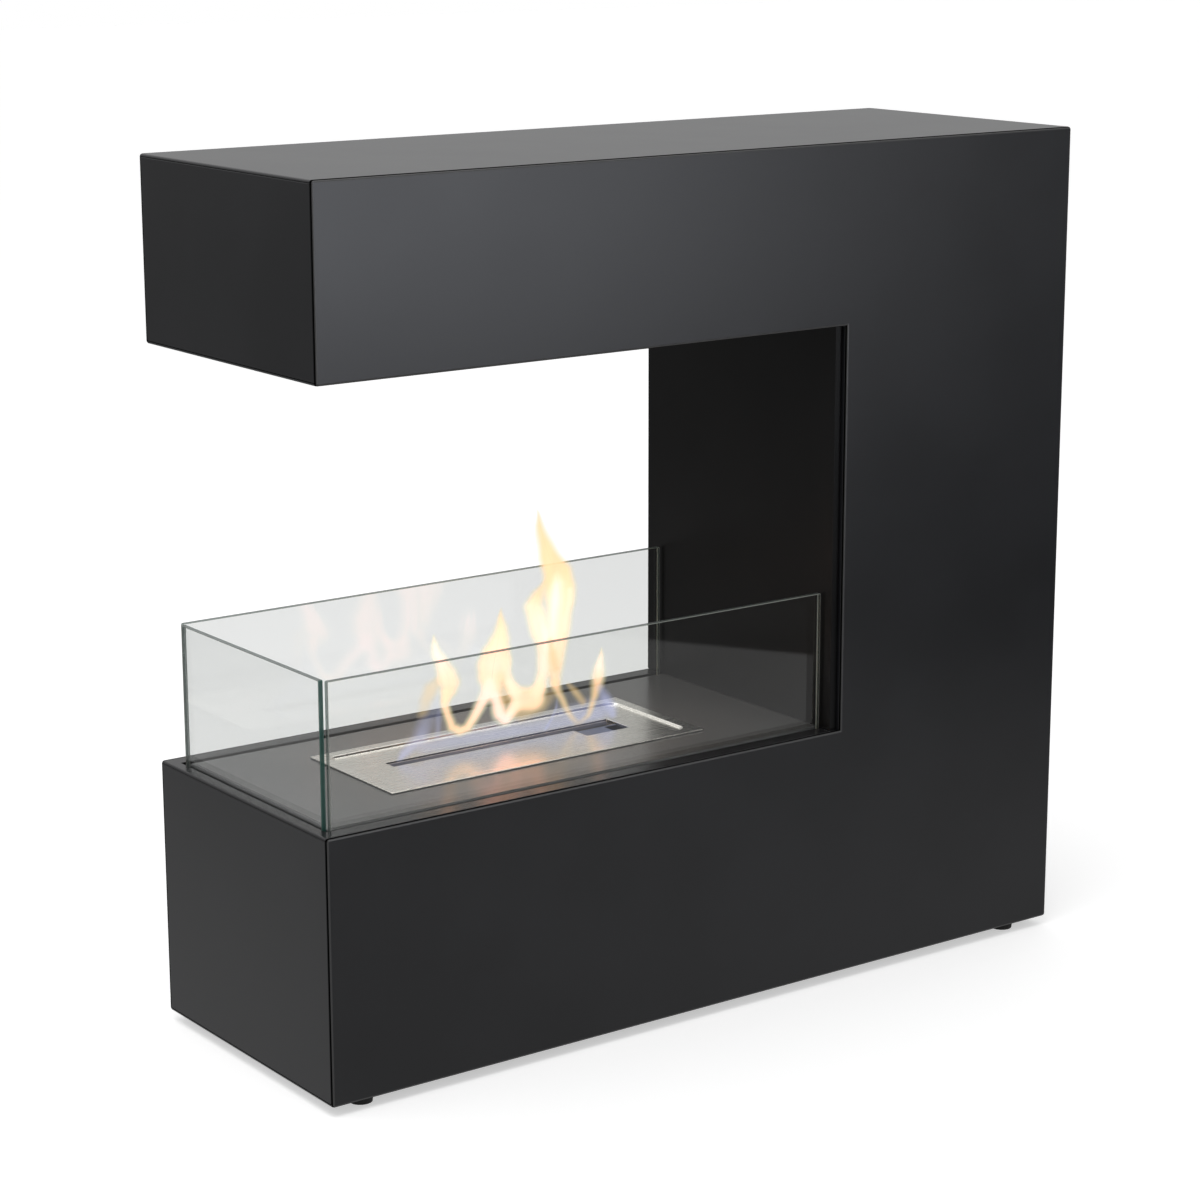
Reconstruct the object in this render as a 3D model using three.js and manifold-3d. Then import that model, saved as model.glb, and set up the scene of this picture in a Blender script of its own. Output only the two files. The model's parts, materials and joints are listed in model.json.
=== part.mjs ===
// A free-standing bioethanol fireplace: a C-shaped steel body that is open to the front, to the left
// and to the back, with a slotted burner in its base and a glass guard on three sides of the hearth.
//
// Millimetres, +Z up. The origin is on the floor under the middle of the body. +X runs along the body
// towards its column, and the front face looks towards -Y.

import * as THREE from 'three';
import { mergeVertices } from 'three/addons/utils/BufferGeometryUtils.js';
import Module from 'manifold-3d';

const wasm = await Module();
wasm.setup();

// ---------------------------------------------------------------- driving dimensions

// Body
const bodyLength = 720;
const bodyDepth = 250;
const bodyHeight = 679;
const armHeight = 143;
const baseHeight = 207;
const columnWidth = 237;
const plateThickness = 2;
const edgeRadius = 1.8;
const cornerRadius = 2.4;
const seamRadius = 0.7;
const seam = 0.3;

// Heat shield on the column's inner face
const shieldDepth = 7;
const shieldSheet = 1.5;
const shieldSetback = 5;

// Ribs and boards inside the body
const ribSheet = 1.5;
const ribFlange = 18;
const leftRibFromEnd = 70;
const rightRibFromColumn = 55;
const columnRibFromEnd = 90;
const columnRibHeight = 60;
const armRibFromEnd = 190;
const boardThickness = 12;
const boardMargin = 12;

// Glass guard
const glassThickness = 4;
const glassShown = 112;
const glassSunk = 11.5;
const glassSideClearance = 0.5;
const glassEdgeRadius = 0.6;
const frontRimWidth = 15.5;
const endRimWidth = 9;
const sidePaneGap = 4;
const endPaneGap = 2.5;
const columnPaneGap = 2;
const channelWall = 1.5;
const seatThickness = 1.5;

// Hearth plate
const hearthLip = 6;
const hearthBendRadius = 2.4;
const ledgeWidth = 15;
const ledgeHeight = 20;
const ledgeEndMargin = 10;

// Burner
const burnerLength = 297;
const burnerWidth = 120;
const burnerCornerRadius = 1.5;
const burnerSheet = 1.2;
const burnerRimWidth = 10;
const recessDepth = 1.8;
const recessCornerRadius = 6;
const slotLength = 214;
const slotWidth = 12.5;
const slotCollar = 4;
const mouthLength = 42;
const mouthWidth = 31;
const tankDepth = 60;
const tankFlange = 8.5;
const tankCornerRadius = 8;
const tankCutClearance = 1.5;
const fibreHeight = 33;

// Shutter that closes the burner's slot, and the pocket that it is drawn by
const shutterThickness = 1;
const shutterOverlap = 4.5;
const shutterReveal = 0.6;
const pocketLength = 12;
const pocketWidth = 14;
const pocketDepth = 6;
const pocketFromRear = 2.5;
const guideSheet = 1.2;
const guideLip = 6;

// Feet and screws
const footHeight = 8;
const footDiameter = 20;
const footTaper = 1;
const footFromEnd = 35;
const footFromFace = 18;
const footBoreDepth = 5.2;
const footScrewDiameter = 5;
const footScrewHeadDiameter = 9;
const footScrewHeadHeight = 2.4;
const footNutWidth = 8;
const footNutHeight = 4;
const footScrewBeyondNut = 1.5;
const panelScrewDiameter = 4;
const panelScrewHeadDiameter = 7.5;
const panelScrewHeadHeight = 2.2;
const panelScrewFromFace = 45;
const panelScrewReach = 5;
const screwHoleClearance = 0.35;
const driveWidth = 2.5;
const driveDepth = 1.2;

// Fineness of round shapes
const filletSegments = 4;
const roundSegments = 16;
const hexagonSides = 6;
const mergeTolerance = 1e-4;

// ---------------------------------------------------------------- places derived from them

const left = -bodyLength / 2;
const right = bodyLength / 2;
const front = -bodyDepth / 2;
const back = bodyDepth / 2;
const bottom = footHeight;
const top = bottom + bodyHeight;
const baseTop = bottom + baseHeight;
const armBottom = top - armHeight;
const columnFace = right - columnWidth;

const innerFront = front + plateThickness + seam;
const innerDepth = bodyDepth - 2 * (plateThickness + seam);
const innerLeft = left + plateThickness + seam;
const innerRight = right - plateThickness - seam;
const innerBottom = bottom + plateThickness + seam;
const innerTop = top - plateThickness - seam;
const outerEdgeRadius = Math.min(edgeRadius, plateThickness - seamRadius / 4);

const grooveWidth = glassThickness + 2 * glassSideClearance;
const grooveLeft = left + endRimWidth;
const grooveFront = front + frontRimWidth;
const hearthLeft = grooveLeft + grooveWidth;
const hearthFront = grooveFront + grooveWidth;
const hearthRight = columnFace - seam;
const glassBottom = baseTop - glassSunk;
const seatTop = glassBottom - seam;
const channelFloorTop = seatTop - seatThickness - seam;
const channelBottom = channelFloorTop - channelWall;
const shieldFace = columnFace - shieldDepth;
const hearthMiddle = (hearthLeft + shieldFace) / 2;

// ---------------------------------------------------------------- shape helpers

// A solid that can be cut and joined, from a closed geometry.
function solidOf(geometry) {
  const bare = geometry.clone();
  bare.deleteAttribute('normal');
  bare.deleteAttribute('uv');
  const merged = mergeVertices(bare, mergeTolerance);
  const mesh = new wasm.Mesh({
    numProp: 3,
    vertProperties: new Float32Array(merged.attributes.position.array),
    triVerts: new Uint32Array(merged.index.array),
  });
  return new wasm.Manifold(mesh);
}

function geometryOf(solid) {
  const { vertProperties, triVerts } = solid.getMesh();
  const geometry = new THREE.BufferGeometry();
  geometry.setAttribute('position', new THREE.BufferAttribute(vertProperties, 3));
  geometry.setIndex(new THREE.BufferAttribute(triVerts, 1));
  geometry.computeVertexNormals();
  return geometry;
}

function cut(geometry, ...cutters) {
  return geometryOf(cutters.reduce((rest, cutter) => rest.subtract(solidOf(cutter)), solidOf(geometry)));
}

function join(geometry, ...others) {
  return geometryOf(others.reduce((whole, other) => whole.add(solidOf(other)), solidOf(geometry)));
}

function overlapOf(geometry, other) {
  return geometryOf(solidOf(geometry).intersect(solidOf(other)));
}

// A box between two opposite corners.
function block([x0, y0, z0], [x1, y1, z1]) {
  const box = new THREE.BoxGeometry(x1 - x0, y1 - y0, z1 - z0);
  return box.translate((x0 + x1) / 2, (y0 + y1) / 2, (z0 + z1) / 2);
}

// A round or many-sided post that stands on z0 and ends at z1.
function post(radius, z0, z1, x = 0, y = 0, sides = roundSegments) {
  const cylinder = new THREE.CylinderGeometry(radius, radius, z1 - z0, sides);
  return cylinder.rotateX(Math.PI / 2).translate(x, y, (z0 + z1) / 2);
}

// A closed outline with right-angled corners, each rounded to its own radius.
function filletedShape(corners) {
  const shape = new THREE.Shape();
  corners.forEach(({ x, y, radius }, index) => {
    const before = corners.at(index - 1);
    const after = corners[(index + 1) % corners.length];
    const corner = new THREE.Vector2(x, y);
    const backwards = new THREE.Vector2(before.x - x, before.y - y).setLength(radius);
    const forwards = new THREE.Vector2(after.x - x, after.y - y).setLength(radius);
    const start = corner.clone().add(backwards);
    if (index === 0) {
      shape.moveTo(start.x, start.y);
    } else {
      shape.lineTo(start.x, start.y);
    }
    if (radius > 0) {
      const centre = start.clone().add(forwards);
      const clockwise = forwards.cross(backwards) < 0;
      const startAngle = Math.atan2(-forwards.y, -forwards.x);
      const endAngle = Math.atan2(-backwards.y, -backwards.x);
      shape.absarc(centre.x, centre.y, radius, startAngle, endAngle, clockwise);
    }
  });
  shape.closePath();
  return shape;
}

function roundedRectangle(length, width, radius) {
  return filletedShape([
    { x: -length / 2, y: -width / 2, radius },
    { x: length / 2, y: -width / 2, radius },
    { x: length / 2, y: width / 2, radius },
    { x: -length / 2, y: width / 2, radius },
  ]);
}

// A rectangle standing on y = 0, with its two upper corners rounded.
function platedSection(width, height, lowSideRadius, highSideRadius) {
  return filletedShape([
    { x: -width / 2, y: 0, radius: 0 },
    { x: width / 2, y: 0, radius: 0 },
    { x: width / 2, y: height, radius: highSideRadius },
    { x: -width / 2, y: height, radius: lowSideRadius },
  ]);
}

// A flat outline in the XY plane, made solid from z0 up to z1.
function slab(shape, z0, z1) {
  const options = { depth: z1 - z0, bevelEnabled: false, curveSegments: filletSegments };
  return new THREE.ExtrudeGeometry(shape, options).translate(0, 0, z0);
}

// A section drawn in Y and Z, run along X over the given length about x = 0.
function runAlongX(section, length) {
  const options = { depth: length, bevelEnabled: false, curveSegments: filletSegments };
  const geometry = new THREE.ExtrudeGeometry(section, options);
  return geometry.rotateX(Math.PI / 2).rotateZ(Math.PI / 2).translate(-length / 2, 0, 0);
}

// A section drawn in X and Z, run along Y over the given length about y = 0.
function runAlongY(section, length) {
  const options = { depth: length, bevelEnabled: false, curveSegments: filletSegments };
  const geometry = new THREE.ExtrudeGeometry(section, options);
  return geometry.rotateX(Math.PI / 2).translate(0, length / 2, 0);
}

// A plate that lies on z = 0 with its seen face up. Each of its four upper edges has its own radius.
function plate(length, width, thickness, { leftEdge, rightEdge, frontEdge, backEdge }) {
  const crosswise = runAlongX(platedSection(width, thickness, frontEdge, backEdge), length);
  const lengthwise = runAlongY(platedSection(length, thickness, leftEdge, rightEdge), width);
  return overlapOf(crosswise, lengthwise);
}

const seamEdges = { leftEdge: seamRadius, rightEdge: seamRadius, frontEdge: seamRadius, backEdge: seamRadius };

function bodyPlate(length, edges = {}) {
  return plate(length, innerDepth, plateThickness, { ...seamEdges, ...edges });
}

// ---------------------------------------------------------------- finishes

const finishes = {
  blackPaint: { color: 0x1c1d20, roughness: 0.48, metalness: 0.25 },
  hearthPaint: { color: 0x232425, roughness: 0.4, metalness: 0.3 },
  zincSteel: { color: 0x8d9094, roughness: 0.5, metalness: 0.9 },
  stainless: { color: 0xb9b5ac, roughness: 0.32, metalness: 1 },
  glass: { color: 0xdfeee8, roughness: 0.03, metalness: 0, transparent: true, opacity: 0.3 },
  silicone: { color: 0x17181a, roughness: 0.8, metalness: 0 },
  rubber: { color: 0x101011, roughness: 0.85, metalness: 0 },
  ceramicFibre: { color: 0xe6e2d8, roughness: 0.95, metalness: 0 },
  board: { color: 0xb8b2a4, roughness: 0.95, metalness: 0 },
};

function addPart(group, name, geometry, finish, position = [0, 0, 0], rotation = [0, 0, 0]) {
  const mesh = new THREE.Mesh(geometry, new THREE.MeshStandardMaterial(finishes[finish]));
  mesh.name = name;
  mesh.position.set(...position);
  mesh.rotation.set(...rotation);
  group.add(mesh);
}

// Rotations that turn a plate's seen face from +Z to another side.
const faceDown = [Math.PI, 0, 0];
const faceLeft = [0, -Math.PI / 2, 0];
const faceRight = [0, Math.PI / 2, 0];
const faceFront = [Math.PI / 2, 0, 0];

// ---------------------------------------------------------------- body

// The C seen from the front, drawn in X and Z.
function bodyOutline() {
  return filletedShape([
    { x: left, y: bottom, radius: cornerRadius },
    { x: right, y: bottom, radius: cornerRadius },
    { x: right, y: top, radius: cornerRadius },
    { x: left, y: top, radius: cornerRadius },
    { x: left, y: armBottom, radius: cornerRadius },
    { x: columnFace, y: armBottom, radius: 0 },
    { x: columnFace, y: baseTop, radius: 0 },
    { x: left, y: baseTop, radius: cornerRadius },
  ]);
}

// Both C-shaped panels come from one doubled plate with rounded rims: side +1 keeps the half whose
// rim is round towards the front, and side -1 the half whose rim is round towards the back.
function facePanel(side) {
  const doubled = new THREE.ExtrudeGeometry(bodyOutline(), {
    depth: 2 * (plateThickness - outerEdgeRadius),
    bevelThickness: outerEdgeRadius,
    bevelSize: outerEdgeRadius,
    bevelOffset: -outerEdgeRadius,
    bevelSegments: filletSegments,
    curveSegments: filletSegments,
  });
  doubled.translate(0, 0, outerEdgeRadius - plateThickness);
  const reach = bodyLength + bodyHeight;
  const keptHalf = side > 0
    ? block([-reach, -reach, 0], [reach, reach, reach])
    : block([-reach, -reach, -reach], [reach, reach, 0]);
  return overlapOf(doubled, keptHalf);
}

function addBodyPanels(group) {
  addPart(group, 'front_panel', facePanel(1), 'blackPaint', [0, front + plateThickness, 0], faceFront);
  addPart(group, 'back_panel', facePanel(-1), 'blackPaint', [0, back - plateThickness, 0], faceFront);

  const roundEnds = { leftEdge: outerEdgeRadius, rightEdge: outerEdgeRadius };
  addPart(group, 'top_panel', bodyPlate(bodyLength, roundEnds), 'blackPaint', [0, 0, top - plateThickness]);
  addPart(group, 'bottom_panel', bottomPanel(roundEnds), 'blackPaint', [0, 0, bottom + plateThickness], faceDown);

  const sideHeight = innerTop - innerBottom;
  const sideMiddle = (innerTop + innerBottom) / 2;
  addPart(group, 'column_side_panel', bodyPlate(sideHeight), 'blackPaint',
    [right - plateThickness, 0, sideMiddle], faceRight);

  // The partition closes the column from the floor of the body up to the arm's underside.
  const partitionTop = armBottom + plateThickness;
  addPart(group, 'column_partition', bodyPlate(partitionTop - innerBottom), 'blackPaint',
    [columnFace + plateThickness, 0, (partitionTop + innerBottom) / 2], faceLeft);

  const undersideLength = columnFace - seam - left;
  const undersideMiddle = left + undersideLength / 2;
  addPart(group, 'arm_underside_panel', bodyPlate(undersideLength, { leftEdge: outerEdgeRadius }), 'blackPaint',
    [undersideMiddle, 0, armBottom + plateThickness], faceDown);

  const armEndBottom = armBottom + plateThickness + seam;
  addPart(group, 'arm_end_panel', bodyPlate(innerTop - armEndBottom), 'blackPaint',
    [left + plateThickness, 0, (innerTop + armEndBottom) / 2], faceLeft);

  const baseEndTop = baseTop - plateThickness - seam;
  addPart(group, 'base_end_panel', bodyPlate(baseEndTop - innerBottom), 'blackPaint',
    [left + plateThickness, 0, (baseEndTop + innerBottom) / 2], faceLeft);

  addPart(group, 'base_top_frame', baseTopFrame(undersideLength), 'blackPaint',
    [undersideMiddle, 0, baseTop - plateThickness]);
}

// The U-shaped rim round the hearth, open towards the column.
function baseTopFrame(length) {
  const rim = bodyPlate(length, { leftEdge: outerEdgeRadius });
  const openingLeft = grooveLeft - (left + length / 2);
  const opening = block([openingLeft, grooveFront, -plateThickness], [length, -grooveFront, 2 * plateThickness]);
  return cut(rim, opening);
}

const footPlaces = [
  { end: 'front_left', x: left + footFromEnd, y: front + footFromFace },
  { end: 'front_right', x: right - footFromEnd, y: front + footFromFace },
  { end: 'back_left', x: left + footFromEnd, y: back - footFromFace },
  { end: 'back_right', x: right - footFromEnd, y: back - footFromFace },
];

const baseRibs = [
  { name: 'base_rib_left', x: left + leftRibFromEnd, height: channelBottom - seam - innerBottom },
  { name: 'base_rib_right', x: columnFace - rightRibFromColumn, height: channelBottom - seam - innerBottom },
  { name: 'base_rib_column', x: right - columnRibFromEnd, height: columnRibHeight },
];

const panelScrewRadius = panelScrewDiameter / 2;
const panelScrewPlaces = baseRibs.flatMap(({ x }) => [
  { x: x + ribFlange / 2, y: front + panelScrewFromFace },
  { x: x + ribFlange / 2, y: back - panelScrewFromFace },
]);

// The service panel under the body, with its screw holes. It lies on its seen face's back, so the
// holes' Y places are turned over with it.
function bottomPanel(edges) {
  const holes = [
    ...footPlaces.map(({ x, y }) => ({ x, y, radius: footScrewDiameter / 2 + screwHoleClearance })),
    ...panelScrewPlaces.map(({ x, y }) => ({ x, y, radius: panelScrewRadius + screwHoleClearance })),
  ];
  const drills = holes.map(({ x, y, radius }) => post(radius, -plateThickness, 2 * plateThickness, x, -y));
  return cut(bodyPlate(bodyLength, edges), ...drills);
}

// A folded tray that stands off the column's partition and takes the fire's heat.
function addHeatShield(group) {
  const low = baseTop + seam;
  const high = armBottom - seam;
  const shieldFront = front + shieldSetback;
  const shieldBack = back - seam;
  const rear = columnFace - seam;
  const shell = block([shieldFace, shieldFront, low], [rear, shieldBack, high]);
  const hollow = block(
    [shieldFace + shieldSheet, shieldFront + shieldSheet, low + shieldSheet],
    [rear + shieldDepth, shieldBack - shieldSheet, high - shieldSheet],
  );
  addPart(group, 'column_heat_shield', cut(shell, hollow), 'blackPaint');
}

// ---------------------------------------------------------------- inside the body

function addRibs(group) {
  const halfDepth = innerDepth / 2;
  for (const { name, x, height } of baseRibs) {
    const web = block([x, -halfDepth, 0], [x + ribSheet, halfDepth, height]);
    const flange = block([x, -halfDepth, 0], [x + ribFlange, halfDepth, ribSheet]);
    const drills = panelScrewPlaces
      .filter((place) => place.x === x + ribFlange / 2)
      .map((place) => post(panelScrewRadius + screwHoleClearance, -ribSheet, 2 * ribSheet, place.x, place.y));
    addPart(group, name, cut(join(web, flange), ...drills), 'zincSteel', [0, 0, innerBottom]);
  }

  const armFloor = armBottom + plateThickness + seam;
  const armRibLeft = left + armRibFromEnd;
  const armRibBottom = armFloor + boardThickness + seam;
  addPart(group, 'arm_rib', block([armRibLeft, -halfDepth, armRibBottom],
    [armRibLeft + ribSheet, halfDepth, innerTop]), 'zincSteel');
  addPart(group, 'arm_root_rib', block([columnFace, -halfDepth, armFloor],
    [columnFace + ribSheet, halfDepth, innerTop]), 'zincSteel');
  addPart(group, 'column_shelf', block([columnFace + plateThickness + seam, -halfDepth, armBottom],
    [innerRight, halfDepth, armBottom + ribSheet]), 'zincSteel');

  // The board keeps the fire's heat out of the arm.
  addPart(group, 'arm_insulation_board', block([innerLeft + boardMargin, innerFront + boardMargin, armFloor],
    [columnFace - boardMargin, -innerFront - boardMargin, armFloor + boardThickness]), 'board');
}

// ---------------------------------------------------------------- hearth

// A plate whose front, left and back edges are turned down, with the burner's cut-out.
function addHearthPlate(group) {
  const length = hearthRight - hearthLeft;
  const width = -2 * hearthFront;
  const middle = (hearthLeft + hearthRight) / 2;
  const shell = plate(length, width, hearthLip, {
    leftEdge: hearthBendRadius,
    rightEdge: 0,
    frontEdge: hearthBendRadius,
    backEdge: hearthBendRadius,
  });
  const hollow = block(
    [-length / 2 + plateThickness, -width / 2 + plateThickness, -hearthLip],
    [length, width / 2 - plateThickness, hearthLip - plateThickness],
  );
  const cutLength = tubLength + 2 * tankCutClearance;
  const cutWidth = tubWidth + 2 * tankCutClearance;
  const cutOut = slab(roundedRectangle(cutLength, cutWidth, tankCornerRadius), -hearthLip, 2 * hearthLip);
  cutOut.translate(hearthMiddle - middle, 0, 0);
  addPart(group, 'hearth_plate', cut(shell, hollow, cutOut), 'hearthPaint', [middle, 0, baseTop - hearthLip]);
}

// An angle on the column's partition that carries the hearth plate's right edge.
function addHearthLedge(group) {
  const ledgeTop = baseTop - plateThickness - seam;
  const halfWidth = -hearthFront - ledgeEndMargin;
  const upright = block([hearthRight - channelWall, -halfWidth, ledgeTop - ledgeHeight],
    [hearthRight, halfWidth, ledgeTop]);
  const shelf = block([hearthRight - ledgeWidth, -halfWidth, ledgeTop - channelWall],
    [hearthRight, halfWidth, ledgeTop]);
  addPart(group, 'hearth_ledge', join(upright, shelf), 'zincSteel');
}

// ---------------------------------------------------------------- glass guard

// The U-section that a pane stands in, about the middle of its groove. Its outer wall reaches up to
// the rim, and its inner wall carries the hearth plate's lip.
function channelSection(outerSide) {
  const half = grooveWidth / 2 + channelWall;
  const outerTop = baseTop - plateThickness - seam;
  const innerTopOfWall = baseTop - hearthLip - seam;
  const points = [
    [-half, channelBottom],
    [half, channelBottom],
    [half, innerTopOfWall],
    [half - channelWall, innerTopOfWall],
    [half - channelWall, channelFloorTop],
    [-half + channelWall, channelFloorTop],
    [-half + channelWall, outerTop],
    [-half, outerTop],
  ].map(([across, up]) => new THREE.Vector2(across * -outerSide, up));
  return new THREE.Shape(points);
}

function addGlassGuard(group) {
  const halfGroove = grooveWidth / 2;
  const frontGrooveMiddle = grooveFront + halfGroove;
  const endGrooveMiddle = grooveLeft + halfGroove;
  const sideChannelLeft = grooveLeft - channelWall;
  const sideChannelLength = hearthRight - sideChannelLeft;
  const sideChannelMiddle = (sideChannelLeft + hearthRight) / 2;
  const endChannelHalf = -frontGrooveMiddle - halfGroove - channelWall - seam;

  const sidePaneLeft = grooveLeft + sidePaneGap;
  const sidePaneRight = shieldFace - columnPaneGap;
  const sidePaneLength = sidePaneRight - sidePaneLeft;
  const sidePaneMiddle = (sidePaneLeft + sidePaneRight) / 2;
  const endPaneHalf = -frontGrooveMiddle - glassThickness / 2 - endPaneGap;

  for (const { place, side } of [{ place: 'front', side: -1 }, { place: 'back', side: 1 }]) {
    const y = -side * frontGrooveMiddle;
    addPart(group, `glass_channel_${place}`, runAlongX(channelSection(side), sideChannelLength), 'zincSteel',
      [sideChannelMiddle, y, 0]);
    addPart(group, `glass_seat_${place}`, seatStrip(sidePaneLength), 'silicone', [sidePaneMiddle, y, 0]);
    addPart(group, `glass_pane_${place}`, pane(sidePaneLength), 'glass', [sidePaneMiddle, y, glassBottom]);
  }

  const quarterTurn = [0, 0, Math.PI / 2];
  addPart(group, 'glass_channel_end', runAlongY(channelSection(-1), 2 * endChannelHalf), 'zincSteel',
    [endGrooveMiddle, 0, 0]);
  addPart(group, 'glass_seat_end', seatStrip(2 * endPaneHalf), 'silicone', [endGrooveMiddle, 0, 0], quarterTurn);
  addPart(group, 'glass_pane_end', pane(2 * endPaneHalf), 'glass', [endGrooveMiddle, 0, glassBottom], quarterTurn);
}

// The strip on the channel's floor that a pane stands on.
function seatStrip(length) {
  const halfWidth = grooveWidth / 2 - seam;
  return block([-length / 2, -halfWidth, seatTop - seatThickness], [length / 2, halfWidth, seatTop]);
}

// A pane of tempered glass that stands on z = 0, with all its edges ground round.
function pane(length) {
  const height = glassShown + glassSunk;
  const radius = Math.min(glassEdgeRadius, glassThickness / 3);
  const geometry = new THREE.ExtrudeGeometry(roundedRectangle(length, height, 2 * radius), {
    depth: glassThickness - 2 * radius,
    bevelThickness: radius,
    bevelSize: radius,
    bevelOffset: -radius,
    bevelSegments: 2,
    curveSegments: filletSegments,
  });
  return geometry.translate(0, height / 2, radius - glassThickness / 2).rotateX(Math.PI / 2);
}

// ---------------------------------------------------------------- burner

// The burner's own frame has z = 0 at the hearth plate's top. Its cover is a tub that hangs in the
// hearth plate by its rim, and the tank is fixed under the tub.
const tubInset = burnerRimWidth - burnerSheet;
const tubLength = burnerLength - 2 * tubInset;
const tubWidth = burnerWidth - 2 * tubInset;
const tankLength = tubLength - 2 * tankFlange;
const tankWidth = tubWidth - 2 * tankFlange;
const coverTop = seam + burnerSheet;
const coverFloorTop = coverTop - recessDepth;
const coverUnder = coverFloorTop - burnerSheet;
const tankTop = coverUnder - seam;

// The slot runs along the burner at the back of the wider mouth, which is at the slot's right end.
const slotBack = mouthWidth / 2;
const slotFront = slotBack - slotWidth;
const slotRight = slotLength / 2;
const shutterTop = coverUnder - seam;
const shutterBottom = shutterTop - shutterThickness;
const shutterHalfLength = slotLength / 2 + shutterOverlap;
const shutterRear = slotFront + shutterReveal;
const shutterTravel = slotBack - seam - shutterRear;
const shutterFront = -slotBack - shutterOverlap - shutterTravel;
const runnerInside = shutterHalfLength + seam + guideSheet - guideLip;

function addBurner(group) {
  addPart(group, 'burner_tank', burnerTank(), 'stainless');
  addPart(group, 'burner_top_plate', burnerTopPlate(), 'stainless');
  addPart(group, 'burner_shutter', burnerShutter(), 'stainless');
  addPart(group, 'shutter_guide_left', shutterGuide(-1), 'stainless');
  addPart(group, 'shutter_guide_right', shutterGuide(1), 'stainless');
  addPart(group, 'ceramic_fibre_insert', fibreInsert(), 'ceramicFibre');
}

// The open fuel tank, fixed under the cover by its flange.
function burnerTank() {
  const outline = roundedRectangle(tankLength, tankWidth, tankCornerRadius);
  const flangeOutline = roundedRectangle(tubLength, tubWidth, recessCornerRadius);
  const innerRadius = tankCornerRadius - burnerSheet;
  const innerOutline = roundedRectangle(tankLength - 2 * burnerSheet, tankWidth - 2 * burnerSheet, innerRadius);
  const walls = slab(outline, -tankDepth, tankTop);
  const flange = slab(flangeOutline, tankTop - burnerSheet, tankTop);
  const hollow = slab(innerOutline, burnerSheet - tankDepth, tankDepth);
  return cut(join(walls, flange), hollow);
}

// A pressed cover: a flat rim that lies on the hearth plate, a tub with sloping sides inside it, and
// in the tub's floor the slot, whose back edge is turned down.
function burnerTopPlate() {
  const edge = burnerSheet / 4;
  const rim = new THREE.ExtrudeGeometry(roundedRectangle(burnerLength, burnerWidth, burnerCornerRadius), {
    depth: burnerSheet - 2 * edge,
    bevelThickness: edge,
    bevelSize: edge,
    bevelOffset: -edge,
    bevelSegments: 2,
    curveSegments: filletSegments,
  });
  rim.translate(0, 0, seam + edge);
  const tub = slab(roundedRectangle(tubLength, tubWidth, recessCornerRadius), coverUnder, seam + edge);

  const floorInset = burnerRimWidth + recessDepth;
  const floorOutline = roundedRectangle(burnerLength - 2 * floorInset, burnerWidth - 2 * floorInset, recessCornerRadius);
  const recess = new THREE.ExtrudeGeometry(floorOutline, {
    depth: recessDepth,
    bevelThickness: recessDepth,
    bevelSize: recessDepth,
    bevelSegments: 1,
    curveSegments: filletSegments,
  });
  recess.translate(0, 0, coverTop);

  const collar = block([-slotRight, slotBack, coverUnder - slotCollar],
    [slotRight, slotBack + burnerSheet, coverFloorTop - edge]);
  const slot = block([-slotRight, slotFront, -tankDepth], [slotRight, slotBack, tankDepth]);
  const mouth = block([slotRight - mouthLength, -slotBack, -tankDepth], [slotRight, slotBack, tankDepth]);
  return cut(join(rim, tub, collar), recess, slot, mouth);
}

// The shutter is parked in front of the slot. The pocket near its right end takes a hook.
function burnerShutter() {
  const blade = block([-shutterHalfLength, shutterFront, shutterBottom], [shutterHalfLength, shutterRear, shutterTop]);
  const wall = shutterThickness;
  const pocketRight = runnerInside - seam - wall;
  const pocketLeft = pocketRight - pocketLength;
  const pocketRear = shutterRear - pocketFromRear;
  const pocketFront = pocketRear - pocketWidth;
  const pocketBottom = shutterTop - pocketDepth;
  const pocket = block([pocketLeft - wall, pocketFront - wall, pocketBottom - wall],
    [pocketRight + wall, pocketRear + wall, shutterTop]);
  const hollow = block([pocketLeft, pocketFront, pocketBottom], [pocketRight, pocketRear, tankDepth]);
  return cut(join(blade, pocket), hollow);
}

// An angle under each end of the cover that a shutter's end runs on.
function shutterGuide(side) {
  const inside = shutterHalfLength + seam;
  const guideFront = shutterFront - shutterThickness;
  const guideBack = slotBack + burnerSheet;
  const guideBottom = shutterBottom - seam - guideSheet;
  const upright = block([inside, guideFront, guideBottom], [inside + guideSheet, guideBack, coverUnder - seam]);
  const runner = block([runnerInside, guideFront, guideBottom],
    [inside + guideSheet, guideBack, guideBottom + guideSheet]);
  const guide = join(upright, runner);
  return side > 0 ? guide : guide.rotateZ(Math.PI).translate(0, guideFront + guideBack, 0);
}

// The block of ceramic fibre that soaks up the fuel.
function fibreInsert() {
  const margin = burnerSheet + seam;
  const outline = roundedRectangle(tankLength - 2 * margin, tankWidth - 2 * margin, tankCornerRadius - margin);
  const low = margin - tankDepth;
  return slab(outline, low, low + fibreHeight);
}

// ---------------------------------------------------------------- feet and screws

// A screw about the Z axis: the head's underside is at z = 0, and the shank runs up.
function screw(shankRadius, headRadius, headHeight, length) {
  const profile = [
    [0, -headHeight],
    [headRadius - headHeight / 3, -headHeight],
    [headRadius, -headHeight * 2 / 3],
    [headRadius, 0],
    [shankRadius, 0],
    [shankRadius, length - shankRadius / 2],
    [shankRadius / 2, length],
    [0, length],
  ].map(([radius, z]) => new THREE.Vector2(radius, z));
  const turned = new THREE.LatheGeometry(profile, roundSegments).rotateX(Math.PI / 2);
  const drive = post(driveWidth / 2, -2 * headHeight, driveDepth - headHeight, 0, 0, hexagonSides);
  return cut(turned, drive);
}

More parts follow.
